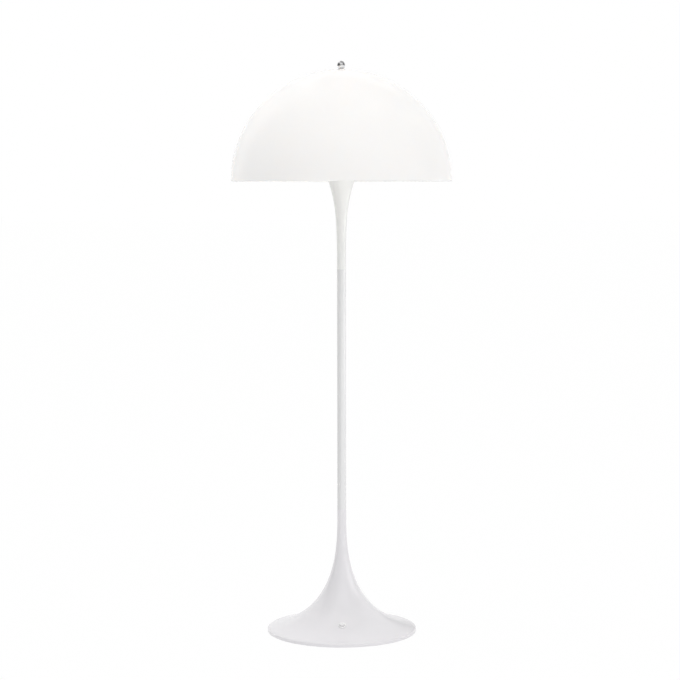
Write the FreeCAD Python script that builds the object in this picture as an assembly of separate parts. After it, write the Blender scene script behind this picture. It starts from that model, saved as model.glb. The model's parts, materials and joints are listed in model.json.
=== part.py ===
import FreeCAD, Part
import math
import os

from FreeCAD import Placement, Rotation, Vector

os.makedirs("parts", exist_ok=True)

# Mushroom floor lamp, in millimetres. The origin is on the floor under the stem's axis.
# +Z is up, -Y is the front, where the foot's push-button is, and +Y the back, where the cord enters.

# --- driving dimensions: whole lamp ---
lamp_height = 1305.0
stem_radius = 10.25
stem_wall = 2.0

# --- fits ---
slip_fit = 0.05            # radial, a turned piece in its bore, and each screw in its thread
loose_fit = 0.4            # radial, a piece that passes through a hole
moving_gap = 0.3           # radial, between pieces that move past each other

# --- shade, its ball nut and its washers ---
shade_radius = 250.0
shade_wall = 3.0
shade_skirt = 3.0          # straight band under the half sphere
shade_boss_radius = 14.0   # flat pad inside the crown, where the shade rests
shade_boss_depth = 5.0     # thickness of the crown at that pad
finial_radius = 10.0
finial_flat_radius = 5.7   # flat where the ball meets its washer
finial_washer_radius = 6.6
finial_washer_thickness = 0.8
seat_washer_radius = 12.0
seat_washer_thickness = 1.0

# --- foot: trumpet shell ---
foot_radius = 171.0
foot_wall = 3.0
foot_neck_z = 284.0        # seam between the foot's neck and the stem
foot_neck_reach = 98.0     # how far the curve keeps to the stem's line
foot_hollow_radius = 4.1   # control point that draws the trumpet in
foot_hollow_z = 31.0
foot_rim_slope = 19.6      # degrees, at the lip
foot_rim_reach = 22.0      # how far the curve keeps to that slope
lip_radius = 3.35
lip_centre_z = 5.75
lip_low_z = 1.0
lip_edge = 0.8             # rounding under the lip
seat_rib_width = 5.0       # rib inside the shell that rests on the ballast
seat_rib_inset = 18.0      # from the lip to the rib's outer side

# --- foot: underside and ballast ---
pad_thickness = 1.4
pad_width = 42.0
pad_inset = 11.0
plate_thickness = 1.0
plate_gap = 0.5
plate_screw_count = 4
plate_screw_circle = 105.0
plate_screw_radius = 2.0
plate_screw_head_radius = 3.6
plate_screw_length = 9.0
screw_slot_width = 0.9
screw_slot_depth = 0.6
ballast_inset = 16.0       # from the lip to the ballast's edge
ballast_flange_width = 19.0
ballast_flange_thickness = 5.0
ballast_thickness = 8.0
boss_foot_radius = 34.0
boss_radius = 20.0
boss_sweep = 0.3           # share of the way to the foot at the middle of its curved side
boss_top_z = 70.0
boss_web_thickness = 12.0  # between the nut's pocket and the core tube's socket
rib_count = 6
rib_thickness = 6.0
rib_top_z = 58.0
rib_end_radius = 80.0
nut_pocket_radius = 16.0
nut_pocket_top_z = 35.0
lead_channel_width = 7.0
lead_channel_depth = 5.5

# --- tubes in the stem ---
tie_radius = 5.0
tie_wall = 1.0
tie_end_drop = 6.0         # the tie tube's lower end, under its washer
tie_nut_flats = 17.0
tie_nut_thickness = 5.0
tie_washer_radius = 10.5
tie_washer_thickness = 1.0
core_tube_bore = 5.3
core_tube_overlap = 50.0   # length of the core tube inside the stem
sleeve_overlap = 50.0      # length of the joint sleeve on each side of its seam

# --- top flare: inverted trumpet ---
flare_height = 246.0
flare_lip_radius = 66.0
flare_lip_above_rim = 47.0
flare_wall = 2.5
flare_neck_reach = 150.8   # how far the curve keeps to the stem's line
flare_throat_radius = 13.7 # control point under the bell
flare_throat_drop = 120.4
flare_lip_slope = 5.7      # degrees
flare_lip_reach = 40.0
flare_web_below_rim = 21.0 # top of the web that closes the flare
flare_web_thickness = 4.0

# --- shade carrier ---
carrier_base_radius = 15.0
carrier_base_height = 8.0
carrier_chamfer = 1.5      # on the base and on the hub
rod_radius = 2.0
rod_count = 3
rod_seat_depth = 5.8
rod_knee_radius = 21.0
rod_elbow_radius = 24.0
rod_elbow_rise = 24.0
rod_cage_radius = 46.0
rod_cage_rise = 78.0
rod_shoulder_drop = 68.0   # from the hub's top to the upper bend
rod_knee_bend = 7.0
rod_bend = 45.0
hub_radius = 16.0
hub_height = 9.0
rod_hub_radius = 11.4      # where a rod ends in the hub
rod_hub_cover = 5.5        # metal above a rod's end
stud_radius = 3.0
stud_seat_cover = 1.2      # metal under the stud
stud_reach = 6.5           # length of the stud inside the ball nut
finial_bore_spare = 1.0

# --- lamp-holder and bulb ---
holder_radius = 17.5
holder_neck_radius = 9.0
holder_neck_height = 4.0
holder_cap_height = 20.0
holder_cap_wall = 2.0
holder_cap_band = 4.0      # straight band under the dome
dome_run = 0.75            # the dome passes this share of its run at that share of its rise
dome_rise = 0.35
holder_tie_grip = 10.0
holder_body_height = 26.0
holder_collar_rise = 15.6  # clamping collar on the body
holder_collar_height = 5.0
holder_collar_proud = 1.0
holder_floor_thickness = 4.0
holder_bore_radius = 14.4
thread_shell_wall = 0.5
thread_shell_height = 18.0
contact_width = 7.0
contact_thickness = 0.6
contact_rise = 2.0
contact_post = 3.0
bulb_cap_radius = 13.3
bulb_cap_wall = 0.9
bulb_tip_radius = 4.5
bulb_tip_height = 1.8
bulb_cone_height = 4.0
bulb_cap_height = 18.0
bulb_globe_radius = 30.0
bulb_neck_radius = 13.0
bulb_globe_rise = 50.0     # from the cap's edge to the globe's centre
bulb_glass_wall = 1.0
bulb_join_angle = -25.0    # degrees, where the flank meets the globe
bulb_pull = 22.5           # how far the flank keeps to the neck's line
bulb_join_pull = 11.25     # and to the globe's

# --- foot switch ---
switch_inset = 70.0        # from the lip to the switch's axis
switch_barrel_radius = 6.0
switch_body_radius = 9.0
switch_body_depth = 19.0
switch_wall_clearance = 0.5
switch_spot_radius = 10.2
switch_spot_depth = 0.4
switch_nut_radius = 9.5
switch_nut_thickness = 2.0
switch_nut_edge = 0.7
button_radius = 4.7
button_proud = 3.0
button_length = 11.0
button_edge = 0.8
button_dish = 0.5
button_travel = 2.5

# --- cord inlet, terminal block and leads ---
lead_radius = 2.5
inlet_z = 3.6
grommet_bore = 2.6
grommet_wall = 0.9
grommet_tail = 2.0         # length of the bush inside the lip
grommet_flange = 1.1
grommet_flange_thickness = 1.0
grommet_floor_gap = 0.5
plate_notch_width = 12.0
plate_notch_depth = 12.0
terminal_width = 20.0
terminal_length = 18.0
terminal_place_y = 76.0
terminal_clearance = 4.0
terminal_low_gap = 0.2
pocket_ceiling_z = 18.0
pocket_wall = 3.5
terminal_screw_radius = 1.6
terminal_screw_pitch_x = 14.0
terminal_screw_pitch_y = 9.0
terminal_screw_depth = 6.0
terminal_groove = 2.0      # width and depth of the groove between the poles
fixing_screw_radius = 1.5
fixing_head_radius = 2.6
fixing_head_height = 2.0
lead_bend = 15.0
lead_lift = 0.5            # the switch lead lies this far over the ballast
lead_orbit = 97.0          # the switch lead passes outside the ribs at this radius
lead_turns = 5             # corners of its route there
lead_orbit_end = 58.0      # degrees towards the front, where it leaves that circle
lead_switch_depth = 12.5   # where the lead enters the switch, along its axis
lead_run_share = 0.45      # share of a run that each bend takes

# --- curves through computed points ---
wall_steps = 16
search_steps = 50


def at(radius, height):
    """Point of a profile, drawn in the XZ plane."""
    return Vector(radius, 0, height)


def disc(radius, low, high):
    return Part.makeCylinder(radius, high - low, Vector(0, 0, low))


def ring(outer, inner, low, high):
    return disc(outer, low, high).cut(disc(inner, low, high))


def block(width, depth, low, high, x=0.0, y=0.0):
    """Upright box centred on x, y."""
    return Part.makeBox(width, depth, high - low, Vector(x - width / 2, y - depth / 2, low))


def turned(*chain):
    """Solid turned about Z from a closed chain of (radius, height) corners and curved edges."""
    edges = []
    ends = []
    for item in chain:
        if isinstance(item, tuple):
            ends.append((at(*item), at(*item)))
        else:
            edges.append(item)
            ends.append((item.firstVertex(True).Point, item.lastVertex(True).Point))
    for this, following in zip(ends, ends[1:] + ends[:1]):
        if this[1].distanceToPoint(following[0]) > 1e-6:
            edges.append(Part.makeLine(this[1], following[0]))
    wire = Part.Wire(Part.__sortEdges__(edges))
    return Part.Face(wire).revolve(Vector(), Vector(0, 0, 1), 360)


def arc(start, middle, end):
    return Part.Arc(at(*start), at(*middle), at(*end)).toShape()


def bezier(*poles):
    curve = Part.BezierCurve()
    curve.setPoles([at(*pole) for pole in poles])
    return curve


def wall_point(curve, t, wall, side):
    """Point set square to the curve, a wall's thickness away on its inner side."""
    along = curve.tangent(t)[0]
    return curve.value(t) + Vector(side * along.z, 0, -side * along.x) * wall


def wall_edge(curve, wall, side, start, end):
    """Edge that keeps a constant wall to the curve, from one parameter to the other."""
    spline = Part.BSplineCurve()
    steps = [start + (end - start) * step / wall_steps for step in range(wall_steps + 1)]
    spline.interpolate([wall_point(curve, t, wall, side) for t in steps])
    return spline.toShape()


def parameter_at_radius(curve, radius, wall=0.0, side=1):
    """Parameter where the curve, or its inner wall, has this radius. Radii grow along the curve."""
    low = 0.0
    high = 1.0
    for _ in range(search_steps):
        middle = (low + high) / 2
        if wall_point(curve, middle, wall, side).x < radius:
            low = middle
        else:
            high = middle
    return low


def parameter_at_height(curve, height):
    """Parameter where a rising curve has this height."""
    low = 0.0
    high = 1.0
    for _ in range(search_steps):
        middle = (low + high) / 2
        if curve.value(middle).z < height:
            low = middle
        else:
            high = middle
    return low


def around(shape, count, start=0.0):
    """Copies of a shape, evenly spaced about Z."""
    copies = []
    for index in range(count):
        copy = shape.copy()
        copy.rotate(Vector(), Vector(0, 0, 1), start + 360.0 * index / count)
        copies.append(copy)
    return copies


def hex_nut(flats, bore, low, high):
    corner = flats / math.sqrt(3)
    points = [Vector(corner * math.cos(math.radians(60 * k)), corner * math.sin(math.radians(60 * k)), low)
              for k in range(7)]
    prism = Part.Face(Part.makePolygon(points)).extrude(Vector(0, 0, high - low))
    return prism.cut(disc(bore, low, high))


def bent_path(points, bends):
    """Wire of straight runs with a tangent arc of the given radius at each inner point."""
    edges = []
    start = points[0]
    for before, corner, after, bend in zip(points, points[1:], points[2:], bends):
        into = (corner - before).normalize()
        out = (after - corner).normalize()
        half_turn = into.getAngle(out) / 2
        trim = bend * math.tan(half_turn)
        first = corner - into * trim
        last = corner + out * trim
        inward = (out - into).normalize()
        centre = corner + inward * (bend / math.cos(half_turn))
        edges.append(Part.LineSegment(start, first).toShape())
        edges.append(Part.Arc(first, centre - inward * bend, last).toShape())
        start = last
    edges.append(Part.LineSegment(start, points[-1]).toShape())
    return Part.Wire(edges)


def swept_rod(points, bends, radius):
    """Round rod or lead along a bent path."""
    path = bent_path(points, bends)
    direction = points[1] - points[0]
    circle = Part.Wire(Part.makeCircle(radius, points[0], direction))
    return path.makePipeShell([circle], True, False)


def run_bends(points):
    """Radius at each inner point, so that its arc takes up just under half of the shorter run."""
    bends = []
    for before, corner, after in zip(points, points[1:], points[2:]):
        into = corner - before
        out = after - corner
        shorter = min(into.Length, out.Length)
        bends.append(lead_run_share * shorter / math.tan(into.getAngle(out) / 2))
    return bends


def save(name, *solids):
    shape = solids[0] if len(solids) == 1 else Part.makeCompound(list(solids))
    shape.exportStep("parts/" + name + ".step")


# --- heights that follow from the stack ---
finial_z = lamp_height - finial_radius
finial_flat_z = finial_z - math.sqrt(finial_radius ** 2 - finial_flat_radius ** 2)
shade_top_z = finial_flat_z - finial_washer_thickness
shade_centre_z = shade_top_z - shade_radius
shade_rim_z = shade_centre_z - shade_skirt
seat_washer_top_z = shade_top_z - shade_boss_depth
hub_top_z = seat_washer_top_z - seat_washer_thickness
flare_lip_z = shade_rim_z + flare_lip_above_rim
flare_neck_z = flare_lip_z - flare_height
web_top_z = shade_rim_z - flare_web_below_rim
plate_low_z = pad_thickness
ballast_low_z = plate_low_z + plate_thickness
ballast_top_z = ballast_low_z + ballast_thickness
flange_top_z = ballast_low_z + ballast_flange_thickness
socket_low_z = nut_pocket_top_z + boss_web_thickness
upper_nut_low_z = web_top_z + tie_washer_thickness
carrier_low_z = upper_nut_low_z + tie_nut_thickness
carrier_top_z = carrier_low_z + carrier_base_height
tie_top_z = carrier_top_z + holder_tie_grip
holder_body_z = carrier_top_z + holder_cap_height
contact_z = holder_body_z + holder_floor_thickness
holder_top_z = holder_body_z + holder_body_height
bulb_low_z = contact_z + contact_rise
cap_shell_z = bulb_low_z + bulb_tip_height + bulb_cone_height
glass_low_z = cap_shell_z + bulb_cap_height
globe_z = glass_low_z + bulb_globe_rise
switch_lead_z = ballast_top_z + lead_radius + lead_lift
switch_place_radius = foot_radius - switch_inset
lower_washer_z = nut_pocket_top_z - tie_washer_thickness
tie_low_z = lower_washer_z - tie_end_drop
neck_bore = stem_radius - stem_wall
sleeve_radius = neck_bore - slip_fit
tie_bore = tie_radius + slip_fit

# --- curves of the foot and of the top flare ---
rim_angle = math.radians(foot_rim_slope)
lip_centre_radius = foot_radius - lip_radius
foot_end = (lip_centre_radius + lip_radius * math.sin(rim_angle),
            lip_centre_z + lip_radius * math.cos(rim_angle))
foot_curve = bezier((stem_radius, foot_neck_z),
                    (stem_radius, foot_neck_z - foot_neck_reach),
                    (foot_hollow_radius, foot_hollow_z),
                    (foot_end[0] - foot_rim_reach * math.cos(rim_angle),
                     foot_end[1] + foot_rim_reach * math.sin(rim_angle)),
                    foot_end)
flare_angle = math.radians(flare_lip_slope)
flare_curve = bezier((stem_radius, flare_neck_z),
                     (stem_radius, flare_neck_z + flare_neck_reach),
                     (flare_throat_radius, flare_lip_z - flare_throat_drop),
                     (flare_lip_radius - flare_lip_reach * math.cos(flare_angle),
                      flare_lip_z - flare_lip_reach * math.sin(flare_angle)),
                     (flare_lip_radius, flare_lip_z))
FOOT_SIDE = 1
FLARE_SIDE = -1

# --- the switch's place: on the foot's front, square to its surface ---
switch_t = parameter_at_radius(foot_curve, switch_place_radius)
switch_slope = foot_curve.tangent(switch_t)[0]
switch_out = Vector(0, switch_slope.z, switch_slope.x)
switch_place = Placement(Vector(0, -switch_place_radius, foot_curve.value(switch_t).z),
                         Rotation(Vector(0, 0, 1), switch_out))


def on_switch_axis(shape):
    """Moves a shape drawn about Z, with z = 0 on the foot's surface, to the switch's place."""
    shape.Placement = switch_place.multiply(shape.Placement)
    return shape


def make_foot_shell():
    """Trumpet shell: curved outside, the same curve inside, a rounded lip and a bore in the neck."""
    middle_angle = (rim_angle + math.pi / 2) / 2
    lip_arc = arc(foot_end,
                  (lip_centre_radius + lip_radius * math.sin(middle_angle),
                   lip_centre_z + lip_radius * math.cos(middle_angle)),
                  (foot_radius, lip_centre_z))
    corner = lip_edge * (1 - math.sqrt(0.5))
    edge_arc = arc((foot_radius, lip_low_z + lip_edge),
                   (foot_radius - corner, lip_low_z + corner),
                   (foot_radius - lip_edge, lip_low_z))
    inner_start = wall_point(foot_curve, 1.0, foot_wall, FOOT_SIDE)
    bore_t = parameter_at_radius(foot_curve, neck_bore, foot_wall, FOOT_SIDE)
    inner = wall_edge(foot_curve, foot_wall, FOOT_SIDE, 1.0, bore_t)
    shell = turned((neck_bore, foot_neck_z), foot_curve.toShape(), lip_arc, edge_arc,
                   (inner_start.x, lip_low_z), inner)
    rib_outer = foot_radius - seat_rib_inset
    rib_t = parameter_at_radius(foot_curve, rib_outer)
    rib_high_z = foot_curve.value(rib_t).z - foot_wall / 2
    shell = shell.fuse(ring(rib_outer, rib_outer - seat_rib_width, flange_top_z, rib_high_z))
    spot = disc(switch_spot_radius, -switch_spot_depth, foot_wall)
    hole = disc(switch_barrel_radius + loose_fit, -2 * foot_wall, foot_wall)
    shell = shell.cut(on_switch_axis(spot)).cut(on_switch_axis(hole))
    notch_radius = grommet_bore + grommet_wall + slip_fit
    notch_start = inner_start.x - grommet_tail - 1
    notch_length = 2 * (foot_radius - notch_start)
    notch = Part.makeCylinder(notch_radius, notch_length, Vector(0, notch_start, inlet_z), Vector(0, 1, 0))
    slot = Part.makeBox(2 * notch_radius, notch_length, inlet_z, Vector(-notch_radius, notch_start, 0))
    return shell.cut(notch).cut(slot).removeSplitter()


def make_top_flare():
    """Inverted trumpet: the stem's line opens into a bell, closed by a web that the tie tube crosses."""
    outer_end = flare_curve.value(1.0)
    inner_end = wall_point(flare_curve, 1.0, flare_wall, FLARE_SIDE)
    along = flare_curve.tangent(1.0)[0]
    tip = (outer_end + inner_end) / 2 + along * (flare_wall / 2)
    lip = arc((outer_end.x, outer_end.z), (tip.x, tip.z), (inner_end.x, inner_end.z))
    bore_t = parameter_at_radius(flare_curve, neck_bore, flare_wall, FLARE_SIDE)
    inner = wall_edge(flare_curve, flare_wall, FLARE_SIDE, 1.0, bore_t)
    bell = turned((neck_bore, flare_neck_z), flare_curve.toShape(), lip, inner)
    web_t = parameter_at_height(flare_curve, web_top_z - flare_web_thickness)
    web_radius = flare_curve.value(web_t).x - flare_wall / 2
    web = ring(web_radius, tie_bore, web_top_z - flare_web_thickness, web_top_z)
    return bell.fuse(web).removeSplitter()


def make_floor_pad():
    outer = foot_radius - pad_inset
    return ring(outer, outer - pad_width, 0, pad_thickness)


def screw_places():
    """Corners of the base plate's screws, between the ribs, clear of the switch and the inlet."""
    places = []
    for index in range(plate_screw_count):
        angle = math.radians(45 + 360 * index / plate_screw_count)
        places.append(Vector(plate_screw_circle * math.cos(angle), plate_screw_circle * math.sin(angle), 0))
    return places


def countersink(radius, head_radius, low, high):
    return Part.makeCone(head_radius, radius, high - low, Vector(0, 0, low))


def make_base_plate():
    inner = wall_point(foot_curve, 1.0, foot_wall, FOOT_SIDE).x
    plate = disc(inner - plate_gap, plate_low_z, ballast_low_z)
    notch = block(plate_notch_width, 2 * plate_notch_depth, 0, ballast_low_z + 1, y=inner)
    plate = plate.cut(notch)
    for place in screw_places():
        hole = countersink(plate_screw_radius + slip_fit, plate_screw_head_radius + slip_fit,
                           plate_low_z, ballast_low_z)
        hole.translate(place)
        plate = plate.cut(hole)
    return plate


def make_base_plate_screws():
    screws = []
    for place in screw_places():
        screw = countersink(plate_screw_radius, plate_screw_head_radius, plate_low_z, ballast_low_z)
        screw = screw.fuse(disc(plate_screw_radius, ballast_low_z, plate_low_z + plate_screw_length))
        slot = block(3 * plate_screw_head_radius, screw_slot_width,
                     plate_low_z - 1, plate_low_z + screw_slot_depth)
        screw = screw.cut(slot)
        screw.translate(place)
        screws.append(screw)
    return screws


def terminal_pocket(margin, low, high):
    """Box round the terminal block, with the given margin on each side."""
    return block(terminal_width + 2 * margin, terminal_length + 2 * margin, low, high, y=terminal_place_y)


def make_ballast():
    """Cast-iron weight: a stepped dish with a ribbed boss, pockets and lead channels underneath."""
    edge = foot_radius - ballast_inset
    step = edge - ballast_flange_width
    core = turned((0, ballast_low_z), (edge, ballast_low_z), (edge, flange_top_z), (step, flange_top_z),
                  (step, ballast_top_z), (boss_foot_radius, ballast_top_z),
                  arc((boss_foot_radius, ballast_top_z),
                      (boss_radius + boss_sweep * (boss_foot_radius - boss_radius),
                       ballast_top_z + boss_sweep * (boss_top_z - ballast_top_z)),
                      (boss_radius, boss_top_z)),
                  (0, boss_top_z))
    rib_profile = Part.makePolygon([at(0, ballast_low_z + 1), at(rib_end_radius, ballast_low_z + 1),
                                    at(rib_end_radius, ballast_top_z), at(boss_radius, rib_top_z),
                                    at(0, rib_top_z), at(0, ballast_low_z + 1)])
    rib = Part.Face(rib_profile).extrude(Vector(0, rib_thickness, 0))
    rib.translate(Vector(0, -rib_thickness / 2, 0))
    body = core.multiFuse(around(rib, rib_count))
    body = body.fuse(terminal_pocket(terminal_clearance + pocket_wall, ballast_low_z,
                                     pocket_ceiling_z + pocket_wall))
    channel_top_z = ballast_low_z + lead_channel_depth
    cuts = [disc(tie_bore, 0, boss_top_z + 1),
            disc(neck_bore, socket_low_z, boss_top_z + 1),
            disc(nut_pocket_radius, 0, nut_pocket_top_z),
            terminal_pocket(terminal_clearance, 0, pocket_ceiling_z),
            block(lead_channel_width, edge + 1, 0, channel_top_z, y=(edge + 1) / 2)]
    for place in screw_places():
        hole = disc(plate_screw_radius + slip_fit, 0, ballast_top_z + 1)
        hole.translate(place)
        cuts.append(hole)
    screw_hole = disc(fixing_screw_radius + slip_fit, 0, 2 * pocket_ceiling_z)
    screw_hole.translate(Vector(0, terminal_place_y, 0))
    cuts.append(screw_hole)
    lead_hole = Part.makeCylinder(lead_radius + loose_fit, terminal_width,
                                  Vector(terminal_width / 2, terminal_place_y, switch_lead_z),
                                  Vector(1, 0, 0))
    cuts.append(lead_hole)
    for cut in cuts:
        body = body.cut(cut)
    return body


def make_terminal_block():
    """Two-pole block with the screws' bores, hung from the pocket's ceiling by one screw."""
    low_z = ballast_low_z + terminal_low_gap
    body = terminal_pocket(0, low_z, pocket_ceiling_z)
    groove = block(terminal_groove, terminal_length + 1, low_z, low_z + terminal_groove,
                   x=terminal_width / 4, y=terminal_place_y)
    body = body.cut(groove)
    groove.translate(Vector(-terminal_width / 2, 0, 0))
    body = body.cut(groove)
    for place in terminal_screw_places():
        hole = disc(terminal_screw_radius + slip_fit, low_z, low_z + terminal_screw_depth)
        hole.translate(place)
        body = body.cut(hole)
    head = disc(fixing_head_radius + slip_fit, low_z, low_z + fixing_head_height)
    shank = disc(fixing_screw_radius + slip_fit, low_z, pocket_ceiling_z)
    for hole in (head, shank):
        hole.translate(Vector(0, terminal_place_y, 0))
        body = body.cut(hole)
    return body


def terminal_screw_places():
    places = []
    for x in (-1, 1):
        for y in (-1, 1):
            places.append(Vector(x * terminal_screw_pitch_x / 2,
                                 terminal_place_y + y * terminal_screw_pitch_y / 2, 0))
    return places


def make_terminal_screws():
    low_z = ballast_low_z + terminal_low_gap
    screws = []
    for place in terminal_screw_places():
        screw = disc(terminal_screw_radius, low_z, low_z + terminal_screw_depth)
        slot = block(3 * terminal_screw_radius, screw_slot_width, low_z - 1, low_z + screw_slot_depth)
        screw = screw.cut(slot)
        screw.translate(place)
        screws.append(screw)
    return screws


def make_fixing_screw():
    low_z = ballast_low_z + terminal_low_gap
    screw = disc(fixing_head_radius, low_z, low_z + fixing_head_height)
    screw = screw.fuse(disc(fixing_screw_radius, low_z, pocket_ceiling_z + pocket_wall))
    slot = block(3 * fixing_head_radius, screw_slot_width, low_z - 1, low_z + screw_slot_depth)
    screw = screw.cut(slot)
    screw.translate(Vector(0, terminal_place_y, 0))
    return screw


def make_grommet():
    """Rubber bush in the lip's notch, flanged outside, flat towards the floor."""
    start = wall_point(foot_curve, 1.0, foot_wall, FOOT_SIDE).x - grommet_tail
    end = foot_radius + grommet_flange_thickness + slip_fit
    radius = grommet_bore + grommet_wall
    flange = radius + grommet_flange

    def along_y(size, low, high):
        return Part.makeCylinder(size, high - low, Vector(0, low, inlet_z), Vector(0, 1, 0))

    bush = along_y(radius, start, end).fuse(along_y(flange, end - grommet_flange_thickness, end))
    floor = block(4 * flange, 4 * flange, -2 * flange, grommet_floor_gap, y=foot_radius)
    return bush.cut(along_y(grommet_bore, start - 1, end + 1)).cut(floor)


def make_switch_body():
    """Closed switch behind the wall, with a barrel that passes through it and guides the button."""
    front = -foot_wall - switch_wall_clearance
    body = disc(switch_body_radius, -switch_body_depth, front)
    barrel = disc(switch_barrel_radius, front, switch_nut_thickness - switch_spot_depth)
    bore = disc(button_radius + moving_gap, button_proud - button_length - button_travel - moving_gap,
                switch_nut_thickness)
    return on_switch_axis(body.fuse(barrel).cut(bore).removeSplitter())


def make_switch_nut():
    """Slim round nut in the spot face, with a bevelled top edge."""
    low = -switch_spot_depth
    high = low + switch_nut_thickness
    bore = switch_barrel_radius + slip_fit
    nut = turned((bore, low), (switch_nut_radius, low), (switch_nut_radius, high - switch_nut_edge),
                 (switch_nut_radius - switch_nut_edge, high), (bore, high))
    return on_switch_axis(nut)


def make_switch_button():
    top = switch_nut_thickness - switch_spot_depth + button_proud
    low = top - button_length
    corner = button_edge * (1 - math.sqrt(0.5))
    crown = arc((button_radius, top - button_edge), (button_radius - corner, top - corner),
                (button_radius - button_edge, top))
    rim = button_radius - button_edge
    hollow = (rim ** 2 + button_dish ** 2) / (2 * button_dish)
    half_z = top - button_dish + hollow - math.sqrt(hollow ** 2 - (rim / 2) ** 2)
    dish = arc((rim, top), (rim / 2, half_z), (0, top - button_dish))
    return on_switch_axis(turned((0, low), (button_radius, low), crown, dish))


def make_switch_lead():
    """Lead from the terminal block, round the ballast outside its ribs, to the switch's side."""
    away = [Vector(terminal_width / 2, terminal_place_y, switch_lead_z)]
    first_angle = math.asin(terminal_place_y / lead_orbit)
    last_angle = -math.radians(lead_orbit_end)
    for index in range(lead_turns):
        angle = first_angle + (last_angle - first_angle) * index / (lead_turns - 1)
        away.append(Vector(lead_orbit * math.cos(angle), lead_orbit * math.sin(angle), switch_lead_z))
    side = switch_place.multVec(Vector(switch_body_radius, 0, -lead_switch_depth))
    beside = switch_place.multVec(Vector(3 * switch_body_radius, 0, -lead_switch_depth))
    away += [beside, side]
    return swept_rod(away, run_bends(away), lead_radius)


def make_lamp_lead():
    """Lead from the terminal block, along the ballast's channel and up through the tie tube."""
    level = ballast_low_z + lead_channel_depth / 2
    route = [Vector(0, terminal_place_y - terminal_length / 2, level), Vector(0, 0, level),
             Vector(0, 0, holder_body_z)]
    return swept_rod(route, [lead_bend], lead_radius)


def make_carrier_base():
    base = turned((tie_bore, carrier_low_z), (carrier_base_radius, carrier_low_z),
                  (carrier_base_radius, carrier_top_z - carrier_chamfer),
                  (carrier_base_radius - carrier_chamfer, carrier_top_z), (tie_bore, carrier_top_z))
    start = carrier_base_radius - rod_seat_depth
    hole = Part.makeCylinder(rod_radius + slip_fit, carrier_base_radius,
                             at(start, carrier_low_z + carrier_base_height / 2), Vector(1, 0, 0))
    for copy in around(hole, rod_count, 90):
        base = base.cut(copy)
    return base


def rod_points():
    """Corners of one carrier rod, in the XZ plane, from the base to the hub."""
    knee_z = carrier_low_z + carrier_base_height / 2
    return [at(carrier_base_radius - rod_seat_depth, knee_z),
            at(rod_knee_radius, knee_z),
            at(rod_elbow_radius, knee_z + rod_elbow_rise),
            at(rod_cage_radius, knee_z + rod_cage_rise),
            at(rod_cage_radius, hub_top_z - rod_shoulder_drop),
            at(rod_hub_radius, hub_top_z - rod_hub_cover)]


def make_carrier_rods():
    rod = swept_rod(rod_points(), [rod_knee_bend, rod_bend, rod_bend, rod_bend], rod_radius)
    return around(rod, rod_count, 90)


def make_carrier_hub():
    """Turned boss on top of the rods: three slanted sockets, and a blind hole for the stud."""
    low_z = hub_top_z - hub_height
    hub = turned((0, low_z), (hub_radius - carrier_chamfer, low_z), (hub_radius, low_z + carrier_chamfer),
                 (hub_radius, hub_top_z - carrier_chamfer), (hub_radius - carrier_chamfer, hub_top_z),
                 (0, hub_top_z))
    shoulder, end = rod_points()[-2:]
    hole = Part.makeCylinder(rod_radius + slip_fit, (end - shoulder).Length, shoulder, end - shoulder)
    for copy in around(hole, rod_count, 90):
        hub = hub.cut(copy)
    return hub.cut(disc(stud_radius + slip_fit, low_z + stud_seat_cover, hub_top_z))


def make_stud():
    low_z = hub_top_z - hub_height + stud_seat_cover
    return disc(stud_radius, low_z, finial_flat_z + stud_reach)


def make_shade():
    """Half sphere with a short straight skirt, a rounded rim and a flat pad under the crown."""
    diagonal = math.sqrt(0.5)
    inner_radius = shade_radius - shade_wall
    rim_round = shade_wall / 2
    outer = arc((0, shade_top_z),
                (shade_radius * diagonal, shade_centre_z + shade_radius * diagonal),
                (shade_radius, shade_centre_z))
    rim = arc((shade_radius, shade_rim_z + rim_round), (shade_radius - rim_round, shade_rim_z),
              (inner_radius, shade_rim_z + rim_round))
    pad_height = math.sqrt(inner_radius ** 2 - shade_boss_radius ** 2)
    inner = arc((inner_radius, shade_centre_z),
                (inner_radius * diagonal, shade_centre_z + inner_radius * diagonal),
                (shade_boss_radius, shade_centre_z + pad_height))
    shell = turned(outer, rim, inner, (shade_boss_radius, seat_washer_top_z), (0, seat_washer_top_z))
    return shell.cut(disc(stud_radius + loose_fit, seat_washer_top_z - 1, shade_top_z + 1))


def make_finial_nut():
    """Ball with a flat underneath and a blind threaded hole."""
    ball = Part.makeSphere(finial_radius, Vector(0, 0, finial_z))
    ball = ball.cut(disc(2 * finial_radius, finial_z - 2 * finial_radius, finial_flat_z))
    bore_top_z = finial_flat_z + stud_reach + finial_bore_spare
    return ball.cut(disc(stud_radius + slip_fit, finial_flat_z, bore_top_z))


def make_holder_cap():
    """Domed cap of the lamp-holder, screwed on the tie tube's end."""
    shoulder_z = holder_body_z - holder_cap_band
    neck_z = carrier_top_z + holder_neck_height
    middle_radius = holder_neck_radius + dome_run * (holder_radius - holder_neck_radius)
    middle_z = neck_z + dome_rise * (shoulder_z - neck_z)
    wall = holder_cap_wall
    dome = arc((holder_neck_radius, neck_z), (middle_radius, middle_z), (holder_radius, shoulder_z))
    inner = arc((holder_radius - wall, shoulder_z), (middle_radius - wall, middle_z + wall),
                (tie_radius + wall, tie_top_z))
    return turned((tie_bore, carrier_top_z), (holder_neck_radius, carrier_top_z), dome,
                  (holder_radius, holder_body_z), (holder_radius - wall, holder_body_z), inner,
                  (tie_bore, tie_top_z))


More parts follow.
